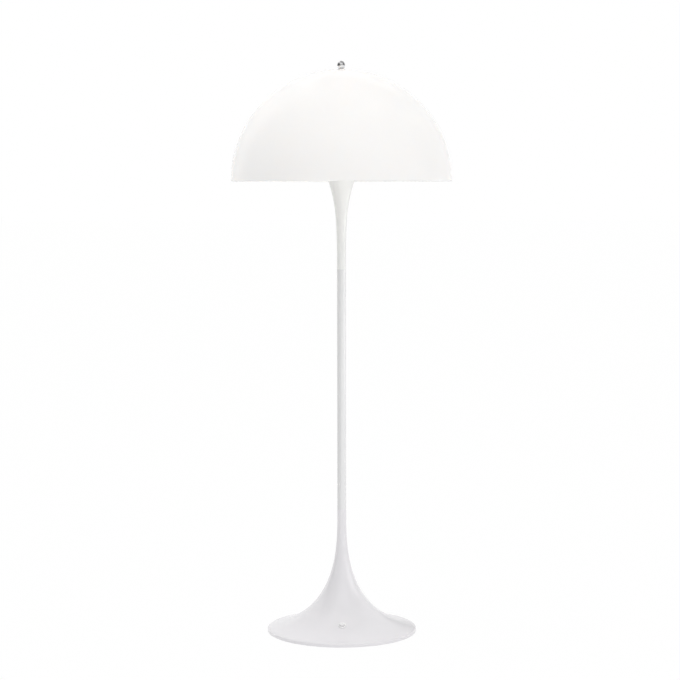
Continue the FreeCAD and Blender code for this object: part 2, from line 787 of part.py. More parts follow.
def make_holder_body():
    """Cup that holds the thread shell, with a collar outside and a hole in its floor for the wires."""
    low_z = holder_body_z + holder_collar_rise
    high_z = low_z + holder_collar_height
    proud = holder_collar_proud
    collar_radius = holder_radius + proud
    return turned((lead_radius, holder_body_z), (holder_radius, holder_body_z), (holder_radius, low_z),
                  (collar_radius, low_z + proud), (collar_radius, high_z - proud),
                  (holder_radius, high_z), (holder_radius, holder_top_z),
                  (holder_bore_radius, holder_top_z), (holder_bore_radius, contact_z),
                  (lead_radius, contact_z))


def make_thread_shell():
    outer = holder_bore_radius - slip_fit
    return ring(outer, outer - thread_shell_wall, contact_z, contact_z + thread_shell_height)


def make_holder_contact():
    """Sprung brass strip: it stands on the holder's floor and meets the bulb's tip."""
    high_z = contact_z + contact_rise
    half = holder_bore_radius - 3 * thread_shell_wall
    strip = block(2 * half, contact_width, contact_z, high_z)
    below = block(2 * (half - contact_post), contact_width, contact_z, high_z - contact_thickness)
    wings = block(2 * half, contact_width, contact_z + contact_thickness, high_z)
    wings = wings.cut(block(2 * (half - contact_post + contact_thickness), contact_width, contact_z, high_z))
    return strip.cut(below).cut(wings)


def make_bulb_cap():
    """Screw cap: solder tip, insulating cone and a thin shell."""
    inner = bulb_cap_radius - bulb_cap_wall
    return turned((0, bulb_low_z), (bulb_tip_radius, bulb_low_z),
                  (bulb_tip_radius, bulb_low_z + bulb_tip_height), (bulb_cap_radius, cap_shell_z),
                  (bulb_cap_radius, glass_low_z), (inner, glass_low_z), (inner, cap_shell_z + bulb_cap_wall),
                  (0, cap_shell_z + bulb_cap_wall))


def bulb_outline(inset):
    """Side of the glass from its neck to its top, moved inwards by the inset."""
    radius = bulb_globe_radius - inset
    neck = bulb_neck_radius - inset
    angle = math.radians(bulb_join_angle)
    join = (radius * math.cos(angle), globe_z + radius * math.sin(angle))
    flank = bezier((neck, glass_low_z), (neck, glass_low_z + bulb_pull),
                   (join[0] + bulb_join_pull * math.sin(angle), join[1] - bulb_join_pull * math.cos(angle)),
                   join)
    middle = (math.pi / 2 + angle) / 2
    crown = arc(join, (radius * math.cos(middle), globe_z + radius * math.sin(middle)), (0, globe_z + radius))
    return flank.toShape(), crown


def make_bulb_glass():
    outer = turned((0, glass_low_z), *bulb_outline(0))
    inner = turned((0, glass_low_z), *bulb_outline(bulb_glass_wall))
    return outer.cut(inner)


save("floor_pad", make_floor_pad())
save("base_plate", make_base_plate())
save("base_plate_screws", *make_base_plate_screws())
save("ballast_casting", make_ballast())
save("foot_shell", make_foot_shell())
save("foot_core_tube", ring(sleeve_radius, core_tube_bore, socket_low_z, foot_neck_z + core_tube_overlap))
save("stem_tube", ring(stem_radius, neck_bore, foot_neck_z, flare_neck_z))
save("stem_joint_sleeve", ring(sleeve_radius, core_tube_bore,
                               flare_neck_z - sleeve_overlap, flare_neck_z + sleeve_overlap))
save("top_flare", make_top_flare())
save("tie_tube", ring(tie_radius, tie_radius - tie_wall, tie_low_z, tie_top_z))
save("lower_tie_washer", ring(tie_washer_radius, tie_bore, lower_washer_z, nut_pocket_top_z))
save("lower_tie_nut", hex_nut(tie_nut_flats, tie_bore, lower_washer_z - tie_nut_thickness, lower_washer_z))
save("upper_tie_washer", ring(tie_washer_radius, tie_bore, web_top_z, upper_nut_low_z))
save("upper_tie_nut", hex_nut(tie_nut_flats, tie_bore, upper_nut_low_z, carrier_low_z))
save("carrier_base", make_carrier_base())
save("carrier_rods", *make_carrier_rods())
save("carrier_hub", make_carrier_hub())
save("carrier_stud", make_stud())
save("shade_seat_washer", ring(seat_washer_radius, stud_radius + loose_fit, hub_top_z, seat_washer_top_z))
save("shade", make_shade())
save("finial_washer", ring(finial_washer_radius, stud_radius + loose_fit, shade_top_z, finial_flat_z))
save("finial_nut", make_finial_nut())
save("holder_cap", make_holder_cap())
save("holder_body", make_holder_body())
save("holder_thread_shell", make_thread_shell())
save("holder_contact", make_holder_contact())
save("bulb_cap", make_bulb_cap())
save("bulb_glass", make_bulb_glass())
save("switch_body", make_switch_body())
save("switch_ring_nut", make_switch_nut())
save("switch_button", make_switch_button())
save("cord_grommet", make_grommet())
save("terminal_block", make_terminal_block())
save("terminal_screws", *make_terminal_screws())
save("terminal_fixing_screw", make_fixing_screw())
save("switch_lead", make_switch_lead())
save("lamp_lead", make_lamp_lead())
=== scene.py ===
import json
import math

import bmesh
import bpy
import numpy as np
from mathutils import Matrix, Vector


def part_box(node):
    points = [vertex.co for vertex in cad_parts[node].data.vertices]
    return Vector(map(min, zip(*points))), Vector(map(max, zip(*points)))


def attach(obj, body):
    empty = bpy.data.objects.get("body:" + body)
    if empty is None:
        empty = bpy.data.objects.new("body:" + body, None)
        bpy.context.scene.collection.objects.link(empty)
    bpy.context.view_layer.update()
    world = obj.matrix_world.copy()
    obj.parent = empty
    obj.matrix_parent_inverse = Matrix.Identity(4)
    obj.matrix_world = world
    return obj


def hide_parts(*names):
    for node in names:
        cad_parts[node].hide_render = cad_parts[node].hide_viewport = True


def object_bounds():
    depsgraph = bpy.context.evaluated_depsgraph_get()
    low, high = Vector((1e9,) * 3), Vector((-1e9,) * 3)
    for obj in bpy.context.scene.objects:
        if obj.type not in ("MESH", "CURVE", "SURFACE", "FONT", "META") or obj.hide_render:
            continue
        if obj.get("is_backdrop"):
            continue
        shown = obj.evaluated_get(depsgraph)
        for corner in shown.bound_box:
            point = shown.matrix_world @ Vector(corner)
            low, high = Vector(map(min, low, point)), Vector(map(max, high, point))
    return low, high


# Mushroom floor lamp: a hemispherical opal shade on a slim white stem with a trumpet foot.
# Metres, +Z up, -Y is the front. The sections follow the lamp as it is put together.
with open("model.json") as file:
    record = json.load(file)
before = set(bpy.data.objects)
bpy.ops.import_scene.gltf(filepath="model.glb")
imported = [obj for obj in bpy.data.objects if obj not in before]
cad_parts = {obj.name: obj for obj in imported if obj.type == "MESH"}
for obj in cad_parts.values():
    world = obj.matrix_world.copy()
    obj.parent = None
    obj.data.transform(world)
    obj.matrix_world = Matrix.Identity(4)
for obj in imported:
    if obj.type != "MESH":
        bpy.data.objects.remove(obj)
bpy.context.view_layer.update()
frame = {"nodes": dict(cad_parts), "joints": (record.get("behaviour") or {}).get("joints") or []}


# --- floor pad ---
# A flat ring of soft grey rubber glued under the base plate, die-cut from sheet,
# so that the weighted foot neither slides nor scratches the floor.

def shared_effect(name, numbers, colours, outputs):
    """Empty shader node group with a Vector input, number and colour inputs, and named outputs."""
    group = bpy.data.node_groups.new(name, "ShaderNodeTree")
    group.interface.new_socket("Vector", in_out="INPUT", socket_type="NodeSocketVector")
    for title, value in numbers.items():
        socket = group.interface.new_socket(title, in_out="INPUT", socket_type="NodeSocketFloat")
        socket.default_value = value
    for title in colours:
        group.interface.new_socket(title, in_out="INPUT", socket_type="NodeSocketColor")
    for title, kind in outputs.items():
        group.interface.new_socket(title, in_out="OUTPUT", socket_type=kind)
    return group, group.nodes.new("NodeGroupInput"), group.nodes.new("NodeGroupOutput")


def make_grain():
    """Fine grain: two noises, one ten times finer, added up and scaled by the depth in metres."""
    group, given, result = shared_effect("fine_grain", {"Scale": 400.0, "Depth": 0.0001}, [],
                                         {"Height": "NodeSocketFloat"})
    coarse = group.nodes.new("ShaderNodeTexNoise")
    coarse.inputs["Detail"].default_value = 3.0
    fine = group.nodes.new("ShaderNodeTexNoise")
    finer = group.nodes.new("ShaderNodeMath")
    finer.operation = "MULTIPLY"
    finer.inputs[1].default_value = 10.0
    total = group.nodes.new("ShaderNodeMath")
    total.operation = "MULTIPLY_ADD"
    total.inputs[1].default_value = 0.3
    deep = group.nodes.new("ShaderNodeMath")
    deep.operation = "MULTIPLY"
    join = group.links.new
    join(given.outputs["Vector"], coarse.inputs["Vector"])
    join(given.outputs["Vector"], fine.inputs["Vector"])
    join(given.outputs["Scale"], coarse.inputs["Scale"])
    join(given.outputs["Scale"], finer.inputs[0])
    join(finer.outputs[0], fine.inputs["Scale"])
    join(fine.outputs["Fac"], total.inputs[0])
    join(coarse.outputs["Fac"], total.inputs[2])
    join(total.outputs[0], deep.inputs[0])
    join(given.outputs["Depth"], deep.inputs[1])
    join(deep.outputs[0], result.inputs["Height"])
    return group


def make_handling():
    """Handling marks: broad cloudy smears and thin crossing hairlines, as a roughness between two limits."""
    group, given, result = shared_effect("handling_marks", {"Scale": 9.0, "Smooth": 0.3, "Dull": 0.4}, [],
                                         {"Roughness": "NodeSocketFloat"})
    cloud = group.nodes.new("ShaderNodeTexNoise")
    cloud.inputs["Detail"].default_value = 4.0
    stretch = group.nodes.new("ShaderNodeMapping")
    stretch.inputs["Rotation"].default_value = (0.4, 0.7, 0.3)
    stretch.inputs["Scale"].default_value = (14.0, 1.0, 2.0)
    hairs = group.nodes.new("ShaderNodeTexNoise")
    hairs.inputs["Scale"].default_value = 60.0
    hairs.inputs["Detail"].default_value = 1.0
    thin = group.nodes.new("ShaderNodeMapRange")
    thin.inputs["From Min"].default_value = 0.66
    thin.inputs["From Max"].default_value = 0.72
    both = group.nodes.new("ShaderNodeMath")
    both.operation = "MULTIPLY_ADD"
    both.use_clamp = True
    both.inputs[1].default_value = 0.25
    spread = group.nodes.new("ShaderNodeMapRange")
    join = group.links.new
    join(given.outputs["Vector"], cloud.inputs["Vector"])
    join(given.outputs["Scale"], cloud.inputs["Scale"])
    join(given.outputs["Vector"], stretch.inputs["Vector"])
    join(stretch.outputs["Vector"], hairs.inputs["Vector"])
    join(hairs.outputs["Fac"], thin.inputs["Value"])
    join(thin.outputs["Result"], both.inputs[0])
    join(cloud.outputs["Fac"], both.inputs[2])
    join(both.outputs[0], spread.inputs["Value"])
    join(given.outputs["Smooth"], spread.inputs["To Min"])
    join(given.outputs["Dull"], spread.inputs["To Max"])
    join(spread.outputs["Result"], result.inputs["Roughness"])
    return group


def make_drift():
    """Colour drift: a slow noise that blends two close colours over the surface."""
    group, given, result = shared_effect("colour_drift", {"Scale": 6.0}, ["First", "Second"],
                                         {"Color": "NodeSocketColor"})
    slow = group.nodes.new("ShaderNodeTexNoise")
    slow.inputs["Detail"].default_value = 2.0
    blend = group.nodes.new("ShaderNodeMix")
    blend.data_type = "RGBA"
    join = group.links.new
    join(given.outputs["Vector"], slow.inputs["Vector"])
    join(given.outputs["Scale"], slow.inputs["Scale"])
    join(slow.outputs["Fac"], blend.inputs["Factor"])
    join(given.outputs["First"], blend.inputs["A"])
    join(given.outputs["Second"], blend.inputs["B"])
    join(blend.outputs["Result"], result.inputs["Color"])
    return group


grain = make_grain()
handling = make_handling()
drift = make_drift()


def new_finish(name, first, second, smooth, dull, grain_scale, grain_depth, handling_scale=9.0, **sockets):
    """Material: colour drift, handling marks and grain on one Principled shader, with its plain sockets."""
    material = bpy.data.materials.new(name)
    material.use_nodes = True
    nodes = material.node_tree.nodes
    join = material.node_tree.links.new
    shader = nodes["Principled BSDF"]
    for title, value in sockets.items():
        shader.inputs[title.replace("_", " ")].default_value = value
    place = nodes.new("ShaderNodeTexCoord").outputs["Object"]

    def effect(group, **values):
        node = nodes.new("ShaderNodeGroup")
        node.node_tree = group
        for title, value in values.items():
            node.inputs[title].default_value = value
        join(place, node.inputs["Vector"])
        return node

    tint = effect(drift, First=(*first, 1), Second=(*second, 1))
    marks = effect(handling, Scale=handling_scale, Smooth=smooth, Dull=dull)
    relief = effect(grain, Scale=grain_scale, Depth=grain_depth)
    bump = nodes.new("ShaderNodeBump")
    bump.inputs["Distance"].default_value = 1.0
    join(tint.outputs["Color"], shader.inputs["Base Color"])
    join(marks.outputs["Roughness"], shader.inputs["Roughness"])
    join(relief.outputs["Height"], bump.inputs["Height"])
    join(bump.outputs["Normal"], shader.inputs["Normal"])
    return material


def dress(finish, *names):
    """Puts a finish on the CAD nodes with these names."""
    for name in names:
        for slot in frame["nodes"][name].material_slots:
            slot.material = finish


rubber = new_finish("grey_rubber", (0.20, 0.20, 0.21), (0.24, 0.24, 0.25),
                    smooth=0.62, dull=0.85, grain_scale=900.0, grain_depth=0.00012)
dress(rubber, "floor_pad")


# --- base plate and tubes ---
# Zinc-plated steel: the sheet that closes the foot with its countersunk screws, the core tube
# that ties foot and stem together, and the sleeve inside the joint of stem and flare.

def add_spangle(material, crystal_scale, brightest):
    """Zinc crystals: Voronoi cells, each with its own brightness, multiplied into the base colour."""
    nodes = material.node_tree.nodes
    join = material.node_tree.links.new
    shader = nodes["Principled BSDF"]
    place = nodes.new("ShaderNodeTexCoord").outputs["Object"]
    crystals = nodes.new("ShaderNodeTexVoronoi")
    crystals.inputs["Scale"].default_value = crystal_scale
    level = nodes.new("ShaderNodeMapRange")
    level.inputs["To Min"].default_value = 0.8
    level.inputs["To Max"].default_value = brightest
    tone = nodes.new("ShaderNodeVectorMath")
    tone.operation = "SCALE"
    join(place, crystals.inputs["Vector"])
    join(crystals.outputs["Color"], level.inputs["Value"])
    join(shader.inputs["Base Color"].links[0].from_socket, tone.inputs["Vector"])
    join(level.outputs["Result"], tone.inputs["Scale"])
    join(tone.outputs["Vector"], shader.inputs["Base Color"])


zinc = new_finish("zinc_plated_steel", (0.52, 0.53, 0.55), (0.62, 0.62, 0.61),
                  smooth=0.28, dull=0.50, grain_scale=500.0, grain_depth=0.00004, handling_scale=40.0,
                  Metallic=1.0)
add_spangle(zinc, crystal_scale=140.0, brightest=1.05)
dress(zinc, "base_plate", "base_plate_screws", "foot_core_tube", "stem_joint_sleeve",
      "lower_tie_washer", "upper_tie_washer", "terminal_fixing_screw")


# --- ballast ---
# Sand-cast iron weight that fills the foot: a ribbed dish with a boss for the core tube,
# left rough from the mould under a thin coat of dark primer.

iron = new_finish("cast_iron", (0.055, 0.055, 0.06), (0.09, 0.085, 0.08),
                  smooth=0.6, dull=0.85, grain_scale=220.0, grain_depth=0.0006, Metallic=0.6)
dress(iron, "ballast_casting")


# --- foot shell ---
# Injection-moulded shell of glossy white plastic, with the faint ripple of a polished tool.
# A rib inside it rests on the ballast's flange, and the stem clamps it down by its neck.

foot_white = new_finish("white_moulded_foot", (0.815, 0.801, 0.826), (0.833, 0.823, 0.842),
                        smooth=0.17, dull=0.26, grain_scale=120.0, grain_depth=0.00002)
dress(foot_white, "foot_shell")


# --- stem ---
# Drawn steel tube with white stove enamel. Both ends are faced and lightly broken,
# which leaves a hairline where it meets the foot's neck and the flare's neck.

def even_angles(columns):
    """Angles a = 2 pi k / columns for k = 0, 1, ... columns - 1."""
    return np.arange(columns) * 2 * np.pi / columns


def turned_grid(radius, height, columns=96):
    """Profile carried round Z: (r cos a, r sin a, z) at even angles a; r and z may change with a."""
    angle = even_angles(columns)
    radius = np.broadcast_to(np.reshape(radius, (len(radius), -1)), (len(radius), columns))
    height = np.broadcast_to(np.reshape(height, (len(height), -1)), (len(height), columns))
    return np.stack([radius * np.cos(angle), radius * np.sin(angle), height], axis=-1)


def skin(name, grids, finish, sharp=0.6):
    """Piece with one quad per cell of each grid (rows, columns, 3): the columns join round, doubles are
    merged where a row shrinks to a pole or meets another, and edges sharper than the angle stay crisp."""
    points = []
    faces = []
    start = 0
    for grid in grids:
        rows, columns = grid.shape[:2]
        index = start + np.arange(rows * columns).reshape(rows, columns)
        beside = np.roll(index, -1, axis=1)
        faces.append(np.stack([index[:-1], beside[:-1], beside[1:], index[1:]], axis=-1).reshape(-1, 4))
        points.append(grid.reshape(-1, 3))
        start += rows * columns
    mesh = bpy.data.meshes.new(name)
    mesh.from_pydata(np.concatenate(points).tolist(), [], np.concatenate(faces).tolist())
    merged = bmesh.new()
    merged.from_mesh(mesh)
    bmesh.ops.remove_doubles(merged, verts=merged.verts, dist=1e-7)
    bmesh.ops.dissolve_degenerate(merged, edges=merged.edges, dist=1e-7)
    merged.to_mesh(mesh)
    merged.free()
    mesh.shade_smooth()
    mesh.set_sharp_from_angle(angle=sharp)
    mesh.materials.append(finish)
    piece = bpy.data.objects.new(name, mesh)
    bpy.context.scene.collection.objects.link(piece)
    return piece


def fit(piece, body, slot, *nodes):
    """The piece rides on a body and stands for CAD nodes, which are hidden. The slot is not used."""
    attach(piece, body)
    if nodes:
        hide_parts(*nodes)


enamel = new_finish("white_enamel", (0.82, 0.821, 0.826), (0.84, 0.841, 0.844),
                    smooth=0.14, dull=0.22, grain_scale=160.0, grain_depth=0.000015,
                    Specular_IOR_Level=1.0)
low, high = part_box("stem_tube")
stem_bore = 0.00825
broken_edge = 0.0002
radius = [stem_bore, high.x - broken_edge, high.x, high.x, high.x - broken_edge, stem_bore, stem_bore]
height = [low.z, low.z, low.z + broken_edge, high.z - broken_edge, high.z, high.z, low.z]
stem = skin("stem", [turned_grid(radius, height, columns=160)], enamel)
fit(stem, "stand", "white_lacquer", "stem_tube")


# --- top flare ---
# The same white moulding as the foot, an inverted trumpet that continues the stem's line
# and throws the lamp's light up into the shade. A web across it takes the tie tube's nut.

# Painted light: this white is set lighter than the foot's, though it is the same moulding, to stand in for
# the glow that falls on the flare from the lit shade above.
flare_white_painted_glow = new_finish("white_moulding_painted_glow", (0.878, 0.884, 0.870), (0.891, 0.897, 0.884),
                         smooth=0.17, dull=0.26, grain_scale=120.0, grain_depth=0.00002)
dress(flare_white_painted_glow, "top_flare")


# --- tie tube and its nuts ---
# One M10 steel tube runs from the ballast to the lamp-holder and clamps the whole stack.
# Its ends are threaded, and chamfered hexagon nuts bear on plain washers.

def ridge(height, angle, pitch, low_z, high_z, run_out, rounded=False):
    """Height of a thread as a share of its depth: a triangle or cosine ridge that climbs one pitch a turn.
    Towards low_z and high_z it fades over the run-out to 1, the plain bar."""
    turn = height / pitch - angle / (2 * np.pi)
    wave = 0.5 + 0.5 * np.cos(2 * np.pi * turn) if rounded else 2 * np.abs(turn - np.floor(turn) - 0.5)
    fade = np.clip(np.minimum(height - low_z, high_z - height) / run_out, 0, 1)
    return 1 - (1 - wave) * fade


def stack_rows(*parts):
    """Rows of a profile in the order given: a number is one even row, an array brings rows of its own."""
    parts = [np.atleast_2d(part) for part in parts]
    width = max(part.shape[1] for part in parts)
    return np.concatenate([np.broadcast_to(part, (len(part), width)) for part in parts])


low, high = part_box("tie_tube")
tie_bore = 0.004
thread_pitch = 0.001
thread_depth = 0.0005
thread_length = 0.030
tie_run_out = 0.002
rows_per_pitch = 8
step = thread_pitch / rows_per_pitch
metric_columns = 72
angle = even_angles(metric_columns)
low_top = low.z + thread_length
high_foot = high.z - thread_length
low_end = np.arange(low.z, low_top, step)
high_end = np.arange(high_foot, high.z, step)
level = np.concatenate([low_end, [low_top + step, high_foot - step], high_end, [high.z]])[:, None]
low_thread = ridge(level, angle, thread_pitch, low.z - step, low_top, tie_run_out)
high_thread = ridge(level, angle, thread_pitch, high_foot, high.z + step, tie_run_out)
side = high.x - thread_depth * (2 - low_thread - high_thread)
radius = stack_rows(tie_bore, side, tie_bore, tie_bore)
height = stack_rows(low.z, level, high.z, low.z)
tie_tube = skin("tie_tube_threaded", [turned_grid(radius, height, metric_columns)], zinc)
fit(tie_tube, "stand", "zinc_steel", "tie_tube")


def hexagon_nut(name, node, bore, flats, columns=96, chamfer=math.radians(30), crease=0.35):
    """Nut: the side is the lesser of a hexagon, half the flats over cos of the angle from the
    nearest flat's middle, and a cone that chamfers the corners at both faces."""
    low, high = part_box(node)
    hexagon = flats / 2 / np.cos(np.mod(even_angles(columns), np.pi / 3) - np.pi / 6)
    depth = np.array([0, 0.0002, 0.0004, 0.0007, 0.001])
    thickness = high.z - low.z
    depth = np.concatenate([depth, thickness - depth[::-1]])
    face_radius = 0.47 * flats
    cone = face_radius + np.minimum(depth, thickness - depth) / math.tan(chamfer)
    side = np.minimum(hexagon, cone[:, None])
    radius = stack_rows(bore, side, bore, bore)
    height = stack_rows(low.z, (low.z + depth)[:, None], high.z, low.z)
    nut = skin(name, [turned_grid(radius, height, columns)], zinc, crease)
    fit(nut, "stand", "zinc_steel", node)


for end in ("lower", "upper"):
    hexagon_nut(end + "_nut_chamfered", end + "_tie_nut", bore=0.00505, flats=0.017)


# --- shade carrier ---
# Three bent steel rods, brazed into a turned base on the tie tube and into a turned hub.
# The hub carries an M6 stud for the shade and its ball nut. All zinc-plated after brazing.

dress(zinc, "carrier_base", "carrier_rods", "carrier_hub")
low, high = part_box("carrier_stud")
stud_chamfer = 0.0005
stud_run_out = 0.001
level = np.arange(low.z, high.z - stud_chamfer, step)[:, None]
thread = ridge(level, angle, thread_pitch, low.z - step, high.z, stud_run_out)
side = high.x - thread_depth * (1 - thread)
radius = stack_rows(0, side, high.x - stud_chamfer, 0)
height = stack_rows(low.z, level, high.z, high.z)
stud = skin("carrier_stud_threaded", [turned_grid(radius, height, metric_columns)], zinc)
fit(stud, "stand", "zinc_steel", "carrier_stud")


def braze_bead(place, across, beside, out, ring_radius, bead_radius):
    """Bead round a rod: a ring whose section, a circle, swells with a slow ripple along the ring.
    The ring lies in the plane of across and beside, and out is its axis."""
    along = even_angles(48)[None, :]
    around = np.linspace(0, 2 * np.pi, 13)[:, None]
    swell = bead_radius * (1 + 0.12 * np.sin(5 * along) + 0.08 * np.sin(11 * along + 1))
    reach = ring_radius + swell * np.cos(around)
    rise = swell * np.sin(around)
    parts = [reach * np.cos(along), reach * np.sin(along), rise]
    return place + sum(part[..., None] * np.array(way) for part, way in zip(parts, (across, beside, out)))


rod_radius = 0.002
bead_radius = 0.0007
rod_angles = np.radians([90, 210, 330])
shoulder_drop = 0.068
rod_end_radius = 0.0114
rod_end_drop = 0.0055
base_low, base_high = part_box("carrier_base")
hub_low, hub_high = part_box("carrier_hub")
cage_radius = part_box("carrier_rods")[1].y - rod_radius
shoulder = np.array([cage_radius, hub_high.z - shoulder_drop])
rod_end = np.array([rod_end_radius, hub_high.z - rod_end_drop])
# Each rod leans in from its shoulder to its end in the hub, and enters the hub at entry_radius.
lean = (rod_end - shoulder) / np.linalg.norm(rod_end - shoulder)
entry_radius = rod_end[0] - lean[0] / lean[1] * (rod_end[1] - hub_low.z)
beads = []
for turn in rod_angles:
    away = np.array([math.cos(turn), math.sin(turn), 0])
    beside = np.array([-math.sin(turn), math.cos(turn), 0])
    upward = np.array([0, 0, 1])
    base_place = away * base_high.x + upward * (base_low.z + base_high.z) / 2
    beads.append(braze_bead(base_place, beside, upward, away, rod_radius, bead_radius))
    hub_place = away * entry_radius + upward * hub_low.z
    beads.append(braze_bead(hub_place, away / lean[1], -beside, -upward, rod_radius, bead_radius))
braze = new_finish("brazing_metal", (0.50, 0.46, 0.38), (0.60, 0.56, 0.50),
                   smooth=0.35, dull=0.55, grain_scale=700.0, grain_depth=0.00008, handling_scale=60.0,
                   Metallic=1.0)
fit(skin("brazed_beads", beads, braze), "stand", "zinc_steel")


# --- lamp-holder ---
# Moulded holder in two halves: a domed cap screwed on the tie tube, and a body with an outside
# thread and a ribbed clamping collar. Inside are a rolled brass thread shell and a contact strip.

holder_white = new_finish("holder_plastic", (0.76, 0.74, 0.70), (0.80, 0.78, 0.75),
                          smooth=0.3, dull=0.45, grain_scale=300.0, grain_depth=0.00004)
dress(holder_white, "holder_cap", "terminal_block")
low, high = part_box("holder_body")
shell_low, shell_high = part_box("holder_thread_shell")
holder_radius = 0.0175
holder_bevel = 0.0005
wire_hole = 0.0025
slip_fit = 0.00005
bore = shell_high.x + slip_fit
body_pitch = 0.0025
body_thread_depth = 0.0004
body_run_out = 0.001
collar_low = low.z + 0.0156
collar_high = collar_low + 0.005
collar_bevel = 0.0008
rib_count = 60
rib_depth = 0.0003
body_columns = 360
angle = even_angles(body_columns)
level = np.linspace(low.z + holder_bevel, collar_low, 60)[:, None]
crest = ridge(level, angle, body_pitch, low.z + body_run_out, collar_low, body_run_out, rounded=True)
thread = holder_radius - body_thread_depth * (1 - crest)
ribs = high.x - rib_depth * (0.5 + 0.5 * np.cos(rib_count * angle))[None, :]
radius = stack_rows(wire_hole, holder_radius - holder_bevel, thread, ribs, ribs, holder_radius, holder_radius,
                    holder_radius - holder_bevel, bore, bore, wire_hole, wire_hole)
height = stack_rows(low.z, low.z, level, collar_low + collar_bevel, collar_high - collar_bevel, collar_high,
                    high.z - holder_bevel, high.z, high.z, shell_low.z, shell_low.z, low.z)
holder_body = skin("holder_body_ribbed", [turned_grid(radius, height, body_columns)], holder_white)
fit(holder_body, "stand", "holder_plastic", "holder_body")

brass = new_finish("brass", (0.62, 0.45, 0.20), (0.72, 0.55, 0.27),
                   smooth=0.22, dull=0.42, grain_scale=400.0, grain_depth=0.00003, Metallic=1.0)
dress(brass, "holder_contact", "terminal_screws")
bulb_pitch = 0.0036
roll_depth = 0.0005
roll_run_out = 0.001
sheet = 0.0004
roll_columns = 96
angle = even_angles(roll_columns)
level = np.linspace(shell_low.z, shell_high.z, 61)[:, None]
crest = ridge(level, angle, bulb_pitch, shell_low.z, shell_high.z, roll_run_out, rounded=True)
outer = shell_high.x - roll_depth * (1 - crest)
inner = outer[::-1] - sheet
radius = stack_rows(outer, inner, outer[:1])
height = stack_rows(level, level[::-1], level[:1])
holder_thread = skin("holder_thread_rolled", [turned_grid(radius, height, roll_columns)], brass)
fit(holder_thread, "stand", "brass", "holder_thread_shell")


# --- bulb ---
# Opal glass globe, cemented into a screw cap of nickel-plated sheet with a rolled thread,
# a black glass insulator and a drop of solder. It is lit and warm: it lights the shade and the
# flare fully, and what is seen of it directly is held back so that the glass keeps its form.

low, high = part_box("bulb_cap")
tip_radius = 0.0045
tip_height = 0.0018
insulator_height = 0.004
cone_low = low.z + tip_height
cap_low = cone_low + insulator_height
seam = cap_low - 0.0006
root_depth = 0.0007
cap_collar = 0.002
cap_run_out = 0.0015
cap_bore = high.x - 0.0009
seam_radius = cap_bore * 0.9
level = np.linspace(cap_low, high.z, 73)[:, None]
crest = ridge(level, angle, bulb_pitch, cap_low, high.z - cap_collar, cap_run_out, rounded=True)
side = high.x - root_depth * (1 - crest)
radius = stack_rows(seam_radius, side, cap_bore, cap_bore, seam_radius)
height = stack_rows(seam, level, high.z, cap_low, seam)
nickel = new_finish("nickel_plated_cap", (0.66, 0.64, 0.60), (0.72, 0.71, 0.69),
                    smooth=0.18, dull=0.34, grain_scale=500.0, grain_depth=0.00003, handling_scale=60.0,
                    Metallic=1.0)
bulb_cap = skin("bulb_cap_rolled", [turned_grid(radius, height, roll_columns)], nickel)
fit(bulb_cap, "bulb", "bulb_shell", "bulb_cap")

black_glass = new_finish("black_glass_insulator", (0.012, 0.012, 0.014), (0.02, 0.02, 0.022),
                         smooth=0.08, dull=0.2, grain_scale=300.0, grain_depth=0.00003)
share = np.linspace(0, 1, 9)
hollow = 1.4
cone_radius = tip_radius + (seam_radius - tip_radius) * share
cone_height = cone_low + (seam - cone_low) * share ** hollow
radius = np.concatenate([[0], cone_radius, [0]])
height = np.concatenate([[cone_low], cone_height, [seam]])
fit(skin("bulb_insulator", [turned_grid(radius, height)], black_glass), "bulb", "holder_plastic")

solder = new_finish("solder", (0.55, 0.55, 0.56), (0.62, 0.62, 0.62),
                    smooth=0.25, dull=0.4, grain_scale=500.0, grain_depth=0.00006, Metallic=1.0)
swing = np.linspace(0, math.pi / 2, 10)
solder_top = cone_low + 0.0001
radius = np.concatenate([tip_radius * np.sin(swing), [tip_radius, 0]])
height = np.concatenate([cone_low - tip_height * np.cos(swing), [solder_top, solder_top]])
fit(skin("bulb_solder_tip", [turned_grid(radius, height)], solder), "bulb", "bulb_shell")

opal_glass = new_finish("opal_glass", (0.60, 0.58, 0.54), (0.63, 0.61, 0.57),
                        smooth=0.12, dull=0.22, grain_scale=80.0, grain_depth=0.00002,
                        Emission_Color=(1.0, 0.90, 0.72, 1), Emission_Strength=0.2)
nodes = opal_glass.node_tree.nodes
join = opal_glass.node_tree.links.new
filament_light = nodes.new("ShaderNodeEmission")
filament_light.inputs["Color"].default_value = (1.0, 0.92, 0.80, 1)
filament_light.inputs["Strength"].default_value = 9.0
exposed = nodes.new("ShaderNodeMixShader")
join(nodes.new("ShaderNodeLightPath").outputs["Is Camera Ray"], exposed.inputs["Fac"])
join(filament_light.outputs[0], exposed.inputs[1])
join(nodes["Principled BSDF"].outputs[0], exposed.inputs[2])
join(exposed.outputs[0], nodes["Material Output"].inputs["Surface"])
dress(opal_glass, "bulb_glass")


# --- shade ---
# Half sphere of opal acrylic with a 3 mm wall, moulded, with a rounded rim and a flat pad under
# the crown. It lies on a rubber washer on the hub, and lifts off once the ball nut is undone.

dress(rubber, "shade_seat_washer")
opal = new_finish("opal_acrylic", (0.895, 0.887, 0.880), (0.908, 0.902, 0.896),
                  smooth=0.16, dull=0.24, grain_scale=60.0, grain_depth=0.00003, Specular_IOR_Level=0.2,
                  Subsurface_Weight=1.0, Subsurface_Scale=0.004, Subsurface_Radius=(1.0, 0.96, 0.92))
dress(opal, "shade")


# --- ball nut and its washer ---
# Turned brass ball, polished and chromium-plated, with a blind M6 thread. A thin washer of
# natural nylon keeps it off the acrylic.

